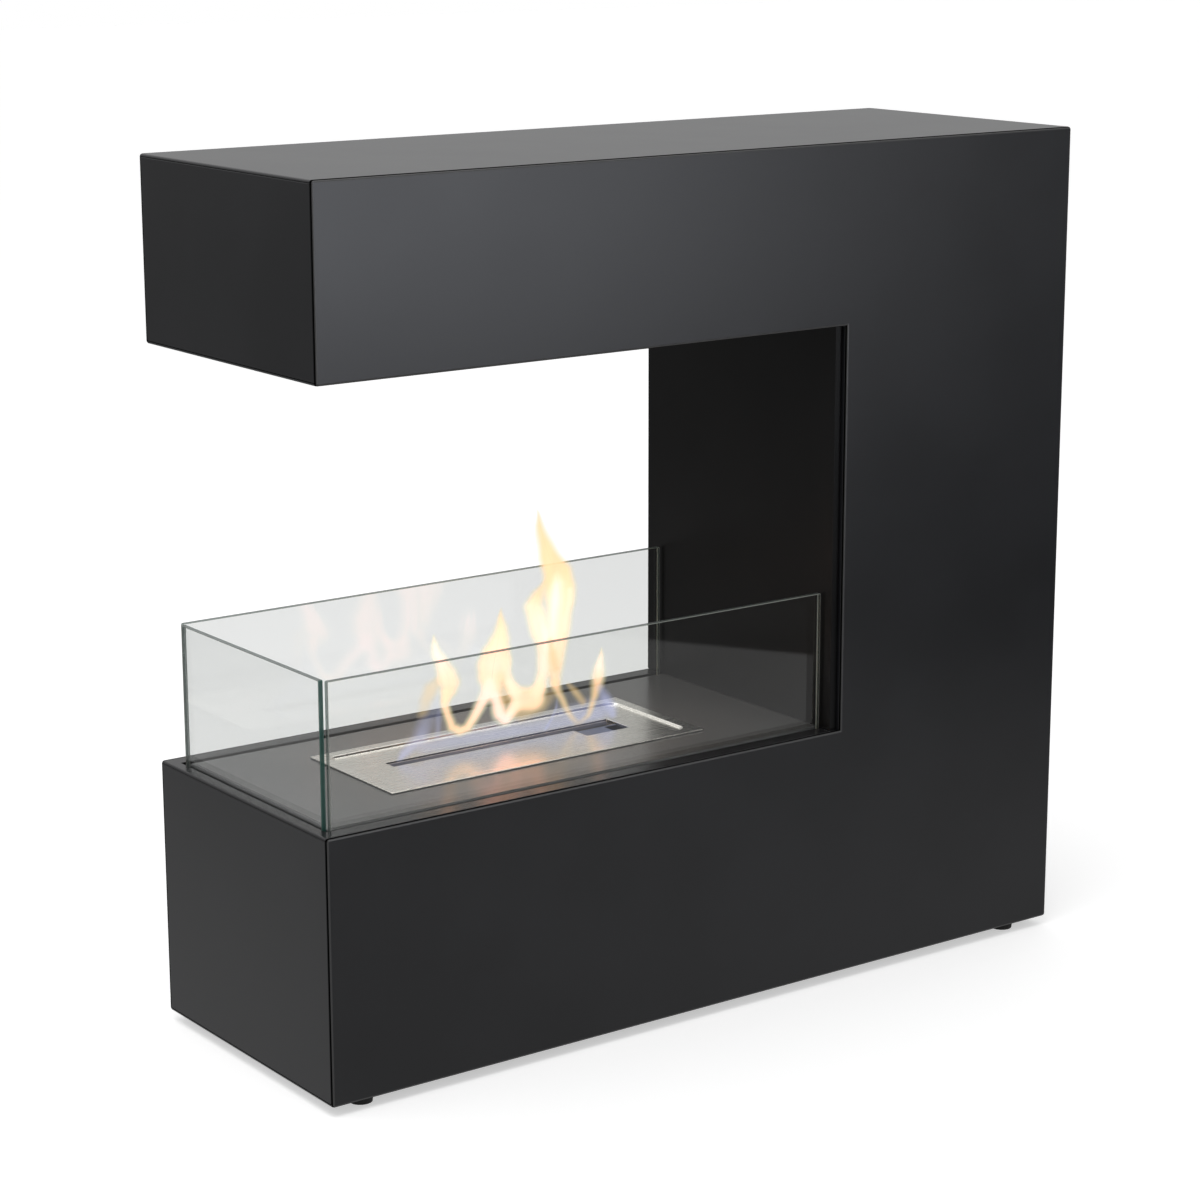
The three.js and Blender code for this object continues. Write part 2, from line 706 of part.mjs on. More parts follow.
function rubberFoot() {
  const radius = footDiameter / 2;
  const height = footHeight - seam;
  const boreRadius = footScrewDiameter / 2 + screwHoleClearance;
  const recessRadius = footScrewHeadDiameter / 2 + screwHoleClearance;
  const profile = [
    [recessRadius, 0],
    [radius - footTaper, 0],
    [radius, height],
    [boreRadius, height],
    [boreRadius, footBoreDepth],
    [recessRadius, footBoreDepth],
    [recessRadius, 0],
  ].map(([r, z]) => new THREE.Vector2(r, z));
  return new THREE.LatheGeometry(profile, roundSegments).rotateX(Math.PI / 2);
}

function addFeet(group) {
  const nutBottom = innerBottom;
  const headSeat = footBoreDepth - seam;
  const screwLength = nutBottom + footNutHeight + footScrewBeyondNut - headSeat;
  const nutRadius = footNutWidth / 2 / Math.cos(Math.PI / hexagonSides);
  for (const { end, x, y } of footPlaces) {
    addPart(group, `foot_${end}`, rubberFoot(), 'rubber', [x, y, 0]);
    addPart(group, `foot_screw_${end}`,
      screw(footScrewDiameter / 2, footScrewHeadDiameter / 2, footScrewHeadHeight, screwLength), 'zincSteel',
      [x, y, headSeat]);
    const nutBore = post(footScrewDiameter / 2 + screwHoleClearance, -footNutHeight, 2 * footNutHeight);
    addPart(group, `foot_nut_${end}`, cut(post(nutRadius, 0, footNutHeight, 0, 0, hexagonSides), nutBore),
      'zincSteel', [x, y, nutBottom]);
  }
}

function addPanelScrews(group) {
  const length = plateThickness + 2 * seam + ribSheet + panelScrewReach;
  panelScrewPlaces.forEach(({ x, y }, index) => {
    addPart(group, `bottom_panel_screw_${index + 1}`,
      screw(panelScrewRadius, panelScrewHeadDiameter / 2, panelScrewHeadHeight, length), 'zincSteel',
      [x, y, bottom - seam]);
  });
}

// ---------------------------------------------------------------- assembly

const fireplace = new THREE.Group();

const body = new THREE.Group();
addBodyPanels(body);
addHeatShield(body);
addRibs(body);
addHearthPlate(body);
addHearthLedge(body);
addFeet(body);
addPanelScrews(body);

const glassGuard = new THREE.Group();
addGlassGuard(glassGuard);

const burner = new THREE.Group();
burner.position.set(hearthMiddle, 0, baseTop);
addBurner(burner);

fireplace.add(body, glassGuard, burner);

export default fireplace;
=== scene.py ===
import json
import math

import bpy
import numpy as np
from mathutils import Matrix, Vector, noise
from mathutils.geometry import delaunay_2d_cdt

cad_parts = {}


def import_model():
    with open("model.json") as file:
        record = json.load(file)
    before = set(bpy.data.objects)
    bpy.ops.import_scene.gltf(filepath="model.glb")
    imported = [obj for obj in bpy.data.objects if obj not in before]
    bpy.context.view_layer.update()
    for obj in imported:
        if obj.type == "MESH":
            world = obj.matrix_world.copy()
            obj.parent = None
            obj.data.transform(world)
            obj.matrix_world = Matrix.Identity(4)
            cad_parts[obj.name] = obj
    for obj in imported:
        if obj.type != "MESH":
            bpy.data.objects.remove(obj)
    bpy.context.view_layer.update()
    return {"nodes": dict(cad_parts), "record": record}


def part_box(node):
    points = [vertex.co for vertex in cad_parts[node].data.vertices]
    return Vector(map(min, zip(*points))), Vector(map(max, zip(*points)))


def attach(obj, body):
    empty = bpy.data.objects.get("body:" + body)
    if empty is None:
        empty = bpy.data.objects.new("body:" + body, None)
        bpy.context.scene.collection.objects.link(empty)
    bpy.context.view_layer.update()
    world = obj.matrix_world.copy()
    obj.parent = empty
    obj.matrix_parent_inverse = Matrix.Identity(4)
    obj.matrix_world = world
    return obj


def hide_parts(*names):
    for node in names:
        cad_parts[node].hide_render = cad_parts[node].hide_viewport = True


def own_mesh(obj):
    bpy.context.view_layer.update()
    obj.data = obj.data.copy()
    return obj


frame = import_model()
nodes = frame["nodes"]

MM = 0.001


# ---------------------------------------------------------------- node helpers

class Shader:
    """A node tree with short calls for the nodes that the materials below are made of."""

    def __init__(self, owner):
        owner.use_nodes = True
        self.tree = owner.node_tree
        self.tree.nodes.clear()

    def add(self, kind, _out=0, **values):
        node = self.tree.nodes.new(kind)
        for name, value in values.items():
            if name.startswith("_"):
                setattr(node, name[1:], value)
            else:
                self.put(node, name, value)
        return node.outputs[_out]

    def put(self, node, name, value):
        key = int(name[2:]) if name.startswith("in") and name[2:].isdigit() else name.replace("_", " ")
        socket = node.inputs[key]
        if isinstance(value, bpy.types.NodeSocket):
            self.tree.links.new(value, socket)
        elif isinstance(value, tuple) and len(value) == 3 and socket.type == "RGBA":
            socket.default_value = (*value, 1.0)
        else:
            socket.default_value = value

    def math(self, operation, a, b=0.0, clamp=False):
        return self.add("ShaderNodeMath", in0=a, in1=b, _operation=operation, _use_clamp=clamp)

    def ramp(self, value, low, high, start=0.0, end=1.0):
        return self.add("ShaderNodeMapRange", Value=value, From_Min=low, From_Max=high,
                        To_Min=start, To_Max=end, _interpolation_type="SMOOTHSTEP")

    def mix_colour(self, factor, a, b):
        return self.add("ShaderNodeMixRGB", in0=factor, in1=a, in2=b)

    def place(self, scale=(1.0, 1.0, 1.0)):
        here = self.add("ShaderNodeTexCoord", 3)
        return self.add("ShaderNodeMapping", Vector=here, Scale=scale)

    def noise(self, place, scale, detail=3.0, roughness=0.55):
        return self.add("ShaderNodeTexNoise", Vector=place, Scale=scale, Detail=detail, Roughness=roughness)

    def bump(self, height, strength, distance):
        return self.add("ShaderNodeBump", Height=height, Strength=strength, Distance=distance)

    def surface(self, shader, kind="ShaderNodeOutputMaterial"):
        out = self.tree.nodes.new(kind)
        self.tree.links.new(shader, out.inputs["Surface"])


def new_material(name):
    material = bpy.data.materials.new(name)
    return material, Shader(material)


def wear(piece, *materials):
    piece.data.materials.clear()
    for material in materials:
        piece.data.materials.append(material)


# ---------------------------------------------------------------- materials

def black_paint(name, colour, rough, ior, peel=0.12, shine=0.5, uneven=0.03, rim=None):
    """Satin powder coat: faint orange peel, with its gloss and tone a little uneven. `rim` is the tone of a
    painted highlight on the bend round a panel whose flat sides face along Y; past the bend, where the facets
    turn away from Y, a painted shade makes a near-black line with no reflection along the seam."""
    material, s = new_material(name)
    here = s.place()
    cloud = s.noise(here, 9.0, 4.0)
    fine = s.noise(here, 1400.0, 2.0)
    tone = s.mix_colour(s.ramp(cloud, 0.35, 0.65), tuple(c * 0.88 for c in colour),
                        tuple(c * 1.12 for c in colour))
    gloss = s.ramp(s.math("ADD", s.math("MULTIPLY", cloud, 0.7), s.math("MULTIPLY", fine, 0.3)),
                   0.3, 0.7, rough - uneven, rough + uneven)
    if rim:
        flat = s.math("ABSOLUTE", s.add("ShaderNodeSeparateXYZ", 1, Vector=s.add("ShaderNodeNewGeometry", 3)))
        # Painted shade: facets turned away from Y are made near black and lose their reflection, a dark line
        # along the seam.
        seam_shade = s.math("LESS_THAN", flat, 0.6)
        bend = s.math("LESS_THAN", flat, 0.985)
        # Painted highlight: the facets of the bend take the lighter rim tone.
        tone = s.mix_colour(bend, tone, rim)
        tone = s.mix_colour(seam_shade, tone, (0.002, 0.002, 0.002))
        shine = s.math("MULTIPLY", shine, s.math("SUBTRACT", 1.0, seam_shade))
    shade = s.add("ShaderNodeBsdfPrincipled", Base_Color=tone, Roughness=gloss, IOR=ior,
                  Specular_IOR_Level=shine, Normal=s.bump(fine, peel, 0.00012))
    s.surface(shade)
    return material


def brushed_steel(name, colour, rough, brush=(6.0, 900.0, 900.0), depth=0.10):
    """Steel brushed along X: streaks in tone, gloss and relief."""
    material, s = new_material(name)
    streaks = s.noise(s.place(brush), 1.0, 5.0, 0.6)
    broad = s.noise(s.place(), 14.0, 3.0)
    tone = s.mix_colour(s.ramp(streaks, 0.3, 0.7), tuple(c * 0.97 for c in colour),
                        tuple(min(c * 1.03, 1.0) for c in colour))
    gloss = s.ramp(s.math("ADD", s.math("MULTIPLY", streaks, 0.6), s.math("MULTIPLY", broad, 0.4)),
                   0.3, 0.7, rough - 0.03, rough + 0.03)
    shade = s.add("ShaderNodeBsdfPrincipled", Base_Color=tone, Roughness=gloss, Metallic=1.0,
                  Normal=s.bump(streaks, depth, 0.00006))
    s.surface(shade)
    return material


def dull_metal(name, colour, rough):
    """Zinc plating: small crystals in slightly different greys."""
    material, s = new_material(name)
    here = s.place()
    crystals = s.add("ShaderNodeTexVoronoi", 1, Vector=here, Scale=160.0)
    grey = s.add("ShaderNodeSeparateColor", 0, Color=crystals)
    tone = s.mix_colour(grey, tuple(c * 0.85 for c in colour), tuple(c * 1.1 for c in colour))
    gloss = s.ramp(grey, 0.0, 1.0, rough - 0.08, rough + 0.08)
    shade = s.add("ShaderNodeBsdfPrincipled", Base_Color=tone, Roughness=gloss, Metallic=1.0)
    s.surface(shade)
    return material


def matte(name, colour, spread, grain, depth, rough=0.85):
    """A matte material with grain in its tone and relief."""
    material, s = new_material(name)
    here = s.place()
    grains = s.noise(here, grain, 5.0, 0.65)
    tone = s.mix_colour(s.ramp(grains, 0.3, 0.7), tuple(c * (1 - spread) for c in colour),
                        tuple(min(c * (1 + spread), 1.0) for c in colour))
    shade = s.add("ShaderNodeBsdfPrincipled", Base_Color=tone, Roughness=rough,
                  Normal=s.bump(grains, 0.5, depth))
    s.surface(shade)
    return material


def pane_glass(name, across, clear, middle, edge, arris, ahead=None):
    """Tempered glass. Its two faces are clear; its ground edges are green, with a painted highlight as a pale
    line along each arris.
    `across` is the index of the axis through the pane, and `middle` its middle plane on that axis. `ahead` is
    the tone of an edge that faces forwards, through which one looks along the whole pane."""
    material, s = new_material(name)
    normal = s.add("ShaderNodeNewGeometry", 1)
    facing = s.math("ABSOLUTE", s.add("ShaderNodeSeparateXYZ", across, Vector=normal))
    is_edge = s.math("LESS_THAN", facing, 0.97)
    through = s.add("ShaderNodeBsdfTransparent", Color=clear)
    mirror = s.add("ShaderNodeBsdfGlossy", Color=(1.0, 1.0, 1.0), Roughness=0.0)
    leaving = s.add("ShaderNodeNewGeometry", 6)
    bend = s.math("ADD", 1.5, s.math("MULTIPLY", leaving, 1 / 1.5 - 1.5))
    face = s.add("ShaderNodeMixShader", in0=s.add("ShaderNodeFresnel", IOR=bend), in1=through, in2=mirror)
    place = s.add("ShaderNodeSeparateXYZ", across, Vector=s.add("ShaderNodeTexCoord", 3))
    off_middle = s.math("ABSOLUTE", s.math("SUBTRACT", place, middle))
    # Painted highlight: the arris tone lies near either face of the pane.
    highlight_line = s.ramp(off_middle, 0.9 * MM, 1.5 * MM)
    grind = s.ramp(s.noise(s.place(), 500.0, 3.0), 0.3, 0.7, 0.0, 0.25)
    solidity = 0.55
    if ahead:
        here = s.add("ShaderNodeTexCoord", 3)
        front_half = s.math("LESS_THAN", s.add("ShaderNodeSeparateXYZ", 1, Vector=here), 0.0)
        forwards = s.math("LESS_THAN", s.add("ShaderNodeSeparateXYZ", 1, Vector=normal), -0.5)
        forwards = s.math("MULTIPLY", forwards, front_half)
        solidity = s.ramp(forwards, 0.0, 1.0, 0.55, 0.92)
        edge = s.mix_colour(forwards, edge, ahead)
        arris = s.mix_colour(forwards, arris, (0.035, 0.12, 0.10))
    tone = s.mix_colour(s.math("MAXIMUM", highlight_line, grind), edge, arris)
    ground = s.add("ShaderNodeBsdfPrincipled", Base_Color=tone, Roughness=0.3, IOR=1.5)
    edge_through = s.add("ShaderNodeMixShader", in0=s.ramp(highlight_line, 0.0, 1.0, solidity, 0.9),
                         in1=s.add("ShaderNodeBsdfTransparent", Color=(0.55, 0.62, 0.60)), in2=ground)
    solid = s.add("ShaderNodeMixShader", in0=is_edge, in1=face, in2=edge_through)
    is_shadow = s.add("ShaderNodeLightPath", 1)
    s.surface(s.add("ShaderNodeMixShader", in0=is_shadow, in1=solid,
                    in2=s.add("ShaderNodeBsdfTransparent", Color=(0.95, 0.97, 0.96))))
    return material


def pane_middle(node, axis):
    low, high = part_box(node)
    return (low[axis] + high[axis]) / 2


paint = black_paint("black_paint", (0.0095, 0.0098, 0.0115), 0.30, 1.44, uneven=0.012)
# The panels' bends get this lighter tone as a painted highlight, and a near-black painted shade line past
# them.
panel_paint = black_paint("panel_paint", (0.0095, 0.0098, 0.0115), 0.30, 1.44, uneven=0.012,
                          rim=(0.045, 0.045, 0.046))
# Painted shade: the heat shield's coat is made darker and less glossy than the panels' paint, for the little
# light that reaches inside the column.
shield_paint = black_paint("shield_paint", (0.003, 0.003, 0.0033), 0.32, 1.45, 0.03, shine=0.22)
hearth_paint = black_paint("hearth_paint", (0.070, 0.071, 0.072), 0.25, 1.58, 0.004, uneven=0.004)
rim_paint = black_paint("rim_paint", (0.008, 0.008, 0.009), 0.25, 1.39, 0.004, uneven=0.004)
stainless = brushed_steel("stainless_steel", (0.76, 0.73, 0.68), 0.27, depth=0.03)
dark_stainless = brushed_steel("stainless_inside", (0.42, 0.40, 0.37), 0.34)
shutter_steel = brushed_steel("shutter_steel", (0.17, 0.19, 0.26), 0.36)
zinc = dull_metal("zinc_steel", (0.50, 0.51, 0.53), 0.45)
# Painted shade: the glass channels and seats are made near black and matte, for the shade in the deep groove
# they sit in.
channel_shade_black = matte("channel_shade_black", (0.003, 0.003, 0.003), 0.15, 300.0, 0.0001, 0.9)
rubber = matte("foot_rubber", (0.020, 0.020, 0.020), 0.2, 700.0, 0.0002)
board = matte("insulation", (0.55, 0.53, 0.47), 0.08, 220.0, 0.0004, 0.95)
fibre = matte("ceramic_fibre", (0.76, 0.73, 0.66), 0.10, 260.0, 0.0012, 1.0)

glass_front = pane_glass("glass_front", 1, (0.974, 0.978, 0.971), pane_middle("glass_pane_front", 1),
                         (0.018, 0.028, 0.027), (0.22, 0.235, 0.215))
glass_back = pane_glass("glass_back", 1, (0.866, 0.871, 0.868), pane_middle("glass_pane_back", 1),
                        (0.018, 0.028, 0.027), (0.20, 0.24, 0.22))
glass_end = pane_glass("glass_end", 0, (0.993, 0.998, 0.995), pane_middle("glass_pane_end", 0),
                       (0.020, 0.026, 0.025), (0.13, 0.14, 0.13), ahead=(0.012, 0.062, 0.050))


def slot_wall(name, top):
    """Steel turned down along the slot: a painted shade makes a dark band at its top, a painted highlight
    makes a bright line under it, and below that the steel is blue-grey.
    """
    material, s = new_material(name)
    here = s.add("ShaderNodeTexCoord", 3)
    depth = s.math("SUBTRACT", top, s.add("ShaderNodeSeparateXYZ", 2, Vector=here))
    blue_grey = s.mix_colour(s.noise(s.place((6.0, 900.0, 900.0)), 1.0), (0.16, 0.18, 0.26), (0.24, 0.26, 0.34))
    # Painted highlight: a bright line from 1.5 to 2 mm below the top.
    highlight_line = s.math("MULTIPLY", s.ramp(depth, 1.45 * MM, 1.55 * MM), s.ramp(depth, 2.05 * MM, 1.95 * MM))
    below = s.mix_colour(highlight_line, blue_grey, (0.70, 0.70, 0.74))
    # Painted shade: near black down to about 1.3 mm below the top.
    tone = s.mix_colour(s.ramp(depth, 1.3 * MM, 1.45 * MM), (0.014, 0.012, 0.012), below)
    s.surface(s.add("ShaderNodeBsdfPrincipled", Base_Color=tone, Roughness=0.5, Specular_IOR_Level=0.2))
    return material


# How far the cover's middle is pressed down below its rim.
pressed_down = 1.8 * MM
slot_steel = slot_wall("slot_steel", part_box("burner_top_plate")[1][2] - pressed_down)

slot_looks = {
    "black_paint": paint,
    "hearth_paint": hearth_paint,
    "zinc_steel": zinc,
    "stainless_steel": stainless,
    "foot_rubber": rubber,
    "ceramic_fibre": fibre,
    "insulation": board,
}
for part in frame["record"]["subparts"]:
    if part["material_slot"] in slot_looks:
        wear(nodes[part["node"]], slot_looks[part["material_slot"]])
wear(nodes["glass_pane_front"], glass_front)
wear(nodes["glass_pane_back"], glass_back)
wear(nodes["glass_pane_end"], glass_end)
wear(nodes["column_heat_shield"], shield_paint)
wear(nodes["burner_tank"], dark_stainless)
wear(nodes["burner_shutter"], shutter_steel)
wear(nodes["base_top_frame"], rim_paint)
wear(nodes["front_panel"], panel_paint)
wear(nodes["back_panel"], panel_paint)
# The channels and seats take the near-black painted shade.
for side in ("front", "end", "back"):
    wear(nodes["glass_channel_" + side], channel_shade_black)
    wear(nodes["glass_seat_" + side], channel_shade_black)


# ---------------------------------------------------------------- mesh helpers

def mesh_object(name, vertices, faces, material, smooth=True):
    mesh = bpy.data.meshes.new(name)
    mesh.from_pydata([tuple(v) for v in vertices], [], faces)
    mesh.update()
    if smooth:
        mesh.polygons.foreach_set("use_smooth", [True] * len(mesh.polygons))
    piece = bpy.data.objects.new(name, mesh)
    bpy.context.scene.collection.objects.link(piece)
    wear(piece, material)
    return piece


def grid_faces(columns, rows, start=0):
    """Faces of a grid of columns × rows points that are numbered row by row."""
    return [(start + r * columns + c, start + r * columns + c + 1,
             start + (r + 1) * columns + c + 1, start + (r + 1) * columns + c)
            for r in range(rows - 1) for c in range(columns - 1)]


# ---------------------------------------------------------------- ceramic fibre

def fibre_block():
    """The block of fibre: rounded edges and an uneven, tufted surface."""
    low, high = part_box("ceramic_fibre_insert")
    middle = (low + high) / 2
    half = (high - low) / 2
    counts = [int(2 * h / (3.0 * MM)) for h in half]
    vertices, faces = [], []
    for axis in range(3):
        u, v = [a for a in range(3) if a != axis]
        for side in (-1, 1):
            start = len(vertices)
            for j in range(counts[v] + 1):
                for i in range(counts[u] + 1):
                    p = Vector((0, 0, 0))
                    p[axis] = side
                    p[u] = 2 * i / counts[u] - 1
                    p[v] = 2 * j / counts[v] - 1
                    vertices.append(p)
            faces += grid_faces(counts[u] + 1, counts[v] + 1, start)
    radius = 5 * MM
    shaped = []
    for p in vertices:
        q = Vector([p[a] * half[a] for a in range(3)])
        core = Vector([max(-half[a] + radius, min(half[a] - radius, q[a])) for a in range(3)])
        out = q - core
        if out.length > 0:
            q = core + out.normalized() * radius
        tuft = 0.5 + 0.5 * noise.noise(q * 90) + 0.35 * noise.noise(q * 320)
        q -= (q - core).normalized() * 1.3 * MM * max(tuft, 0)
        shaped.append(middle + q)
    piece = mesh_object("fibre_wool", shaped, faces, fibre)
    weld = piece.modifiers.new("weld", "WELD")
    weld.merge_threshold = 0.3 * MM
    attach(piece, "burner")
    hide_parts("ceramic_fibre_insert")


fibre_block()


# ---------------------------------------------------------------- burner's cover

# Outline of the slot, with the wider mouth at its right end, about the burner's middle (mm).
SLOT = [(-107, 3), (65, 3), (65, -15.5), (107, -15.5), (107, 15.5), (-107, 15.5)]

# From the rim's outer edge to the floor: distance in from the edge, and depth below the top.
PROFILE = [(0, 0.35), (0.10, 0.10), (0.35, 0), (0.8, 0), (8.5, 0), (9.2, 0), (9.7, 0.10),
           (10.15, 0.40), (10.6, 0.85), (11.1, 1.32), (11.6, 1.66), (12.1, 1.80), (12.9, 1.80)]


def rounded(half_x, half_y, radius, arc=8):
    """A rectangle with rounded corners, with the same number of points whatever its size."""
    points = []
    for quarter, (sx, sy) in enumerate([(1, 1), (-1, 1), (-1, -1), (1, -1)]):
        for step in range(arc + 1):
            angle = math.pi / 2 * (quarter + step / arc)
            points.append((sx * (half_x - radius) + radius * math.cos(angle),
                           sy * (half_y - radius) + radius * math.sin(angle)))
    return points


def slot_outline(grow):
    """The slot's outline, moved outwards, with its corners a little cut."""
    points = []
    for i, (x, y) in enumerate(SLOT):
        before, after = SLOT[i - 1], SLOT[(i + 1) % len(SLOT)]
        way_in = Vector((x - before[0], y - before[1])).normalized()
        way_out = Vector((after[0] - x, after[1] - y)).normalized()
        corner = Vector((x, y)) + grow * (Vector((way_in.y, -way_in.x)) + Vector((way_out.y, -way_out.x)))
        points += [corner - 0.8 * way_in, corner - 0.25 * way_in + 0.25 * way_out, corner + 0.8 * way_out]
    return [tuple(p) for p in points]


def pressed_cover():
    """The cover as pressed sheet steel: bends with a radius, a fine edge all round, and the slot's collar."""
    low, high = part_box("burner_top_plate")
    middle = (low + high) / 2
    half_x, half_y = (high - low)[0] / 2 / MM, (high - low)[1] / 2 / MM
    sheet = 1.2
    vertices, faces = [], []

    def ring(outline, depth):
        start = len(vertices)
        vertices.extend((middle[0] + x * MM, middle[1] + y * MM, high[2] - depth * MM) for x, y in outline)
        return range(start, len(vertices))

    def strip(a, b):
        faces.extend((a[i], a[(i + 1) % len(a)], b[(i + 1) % len(a)], b[i]) for i in range(len(a)))

    def fill(outer, hole, up):
        """Triangles between two outlines, each of which is counter-clockwise from above."""
        index = list(outer) + list(hole)
        points = [Vector(vertices[i][:2]) / MM for i in index]
        loops = [list(range(len(outer))), list(range(len(outer), len(index)))]
        found = delaunay_2d_cdt(points, [], loops, 1, 1e-6)
        for triangle, inside in zip(found[2], found[5]):
            if len(inside) == 1:
                corners = tuple(index[found[3][i][0]] for i in triangle)
                faces.append(corners if up else corners[::-1])

    def outline(inset):
        radius = max(0.8 - inset, 0.2) if inset < 5 else 17.8 - inset
        return rounded(half_x - inset, half_y - inset, radius)

    top = [ring(outline(inset), depth) for inset, depth in PROFILE]
    under = [ring(outline(max(inset, 0.2)), depth + sheet) for inset, depth in PROFILE[3:]]
    edge = ring(outline(0), sheet - 0.15)
    for a, b in zip(top[:-1], top[1:]):
        strip(a, b)
    strip(edge, top[0])
    strip(under[0], edge)
    for a, b in zip(under[:-1], under[1:]):
        strip(b, a)
    floor_depth = PROFILE[-1][1]
    mouth = [ring(slot_outline(grow), floor_depth + depth)
             for grow, depth in ((1.2, 0), (0.3, 0), (0.08, 0.08), (0, 0.3), (0, sheet))]
    fill(top[-1], mouth[0], True)
    fill(under[-1], mouth[-1], False)
    for a, b in zip(mouth[:-1], mouth[1:]):
        strip(a, b)
    cover = mesh_object("burner_cover", vertices, faces, stainless)
    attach(cover, "burner")
    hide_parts("burner_top_plate")

    back, front = 16.7, 15.45
    top_depth, end_depth = floor_depth + 0.06, floor_depth + sheet + 4.0
    section = [(front, top_depth), (back, top_depth), (back, end_depth - 0.3), (back - 0.3, end_depth),
               (front + 0.3, end_depth), (front, end_depth - 0.3)]
    vertices, faces = [], []
    left_end, right_end = SLOT[0][0], SLOT[3][0]
    for x in (left_end, right_end):
        vertices += [(middle[0] + x * MM, middle[1] + y * MM, high[2] - depth * MM) for y, depth in section]
    count = len(section)
    faces += [(i, (i + 1) % count, count + (i + 1) % count, count + i) for i in range(count)]
    faces += [tuple(range(count))[::-1], tuple(range(count, 2 * count))]
    collar = mesh_object("slot_collar", vertices, faces, slot_steel, smooth=False)
    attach(collar, "burner")


pressed_cover()


# ---------------------------------------------------------------- flame

slot_y = 9.25
deck = 214.7

# The flame is drawn in X and height above the floor, in millimetres, as strokes: points (x, z, half
# width, strength, heat). The places and widths in this table and the next three weren't chosen by hand:
# a separate program turned points picked on the photo into millimetres, and another one rounded them.
BODY = {
    "main_tongue": [(-81, 399, 0.7, 0.55, 0.1), (-78, 387, 3.5, 0.8, 0.2), (-74, 374, 6, 0.88, 0.27),
        (-69, 360, 9, 0.92, 0.32), (-62, 345, 12.5, 0.93, 0.38), (-59, 333, 13, 0.93, 0.5),
        (-58, 319, 12, 0.93, 0.6), (-59, 305, 10.5, 0.92, 0.66), (-61, 291, 9, 0.9, 0.68),
        (-63, 278, 8, 0.88, 0.62), (-64, 266, 7, 0.82, 0.55), (-63, 256, 5.5, 0.72, 0.42)],
    "main_tail": [(-63, 256, 4.5, 0.72, 0.42), (-60, 246, 3.5, 0.68, 0.35), (-55, 235, 3, 0.62, 0.3),
        (-48, 224, 2.5, 0.5, 0.25), (-43, 219, 2.5, 0.3, 0.2)],
    "left_lobe": [(-74, 340, 2.5, 0.6, 0.25), (-80, 331, 6, 0.82, 0.4), (-84, 322, 8, 0.92, 0.72),
        (-81, 311, 9, 0.93, 0.82), (-78, 300, 9, 0.93, 0.82), (-76, 289, 7, 0.92, 0.8),
        (-75, 278, 6, 0.92, 0.85), (-75, 268, 5.5, 0.92, 0.85), (-78, 258, 6, 0.92, 0.75),
        (-82, 251, 6.5, 0.9, 0.68)],
    "garland_right": [(-109, 263, 4.5, 0.9, 0.8), (-104, 254, 6.5, 0.92, 0.75), (-96, 248, 10.5, 0.9, 0.65),
        (-86, 246, 10.5, 0.9, 0.62), (-79, 252, 7, 0.88, 0.65)],
    "centre_tongue": [(-115, 324, 0.7, 0.5, 0.25), (-116, 317, 3, 0.8, 0.45), (-117, 308, 6, 0.9, 0.58),
        (-119, 298, 9.5, 0.92, 0.66), (-121, 290, 12, 0.93, 0.72), (-123, 280, 14, 0.93, 0.78),
        (-125, 272, 12.5, 0.92, 0.72), (-125, 264, 9, 0.9, 0.75)],
    "centre_right_strand": [(-112, 282, 5, 0.85, 0.7), (-110, 272, 4.5, 0.88, 0.78),
        (-107, 262, 4.5, 0.9, 0.8), (-102, 255, 5.5, 0.9, 0.75)],
    "centre_hollow": [(-116, 269, 6, 0.55, 0.2), (-115, 258, 6.5, 0.5, 0.1), (-114, 249, 6.5, 0.42, 0.05)],
    "loop_left": [(-128, 265, 5.5, 0.93, 0.95), (-131, 257, 6, 0.93, 0.95), (-138, 248, 5.5, 0.92, 0.85),
        (-143, 240, 5, 0.9, 0.7), (-148, 233, 4.5, 0.88, 0.55), (-155, 231, 4.5, 0.88, 0.5),
        (-163, 235, 4, 0.86, 0.5), (-167, 245, 3.5, 0.85, 0.55), (-170, 255, 4, 0.86, 0.6),
        (-170, 265, 4.5, 0.86, 0.62)],
    "loop_centre": [(-126, 260, 6, 0.93, 0.95), (-122, 248, 5.5, 0.92, 0.9), (-118, 238, 6, 0.93, 0.95),
        (-113, 233, 6, 0.93, 0.98), (-108, 238, 5.5, 0.92, 0.9), (-103, 244, 6, 0.9, 0.75)],
    "left_tongue": [(-180, 313, 0.7, 0.5, 0.6), (-178, 305, 3, 0.85, 0.9), (-176, 297, 4.5, 0.92, 0.95),
        (-171, 288, 6.5, 0.93, 0.88), (-167, 279, 8.5, 0.92, 0.78), (-165, 272, 8.5, 0.9, 0.7),
        (-166, 266, 7, 0.86, 0.6), (-169, 259, 4.5, 0.84, 0.55)],
    "left_veil": [(-176, 274, 5, 0.45, 0.25), (-183, 269, 6.5, 0.48, 0.2), (-188, 261, 6, 0.42, 0.15),
        (-190, 252, 5, 0.26, 0.1)],
    "right_tongue": [(-19, 278, 0.7, 0.5, 0.6), (-19, 270, 3, 0.85, 0.9), (-20, 262, 5, 0.92, 0.92),
        (-21, 254, 6, 0.9, 0.75), (-22, 246, 5.5, 0.78, 0.35), (-24, 238, 4, 0.72, 0.3),
        (-28, 230, 3, 0.66, 0.3), (-32, 223, 3, 0.5, 0.25), (-39, 219, 2.5, 0.25, 0.2)],
    "right_rib": [(-50, 253, 2, 0.3, 0.15), (-44, 245, 3, 0.5, 0.15), (-36, 235, 3, 0.38, 0.15)],
    "low_glow": [(-123, 241, 4, 0.2, 0.2), (-98, 237, 7.5, 0.42, 0.2), (-79, 239, 6.5, 0.4, 0.2),
        (-67, 247, 5, 0.2, 0.15)],
}

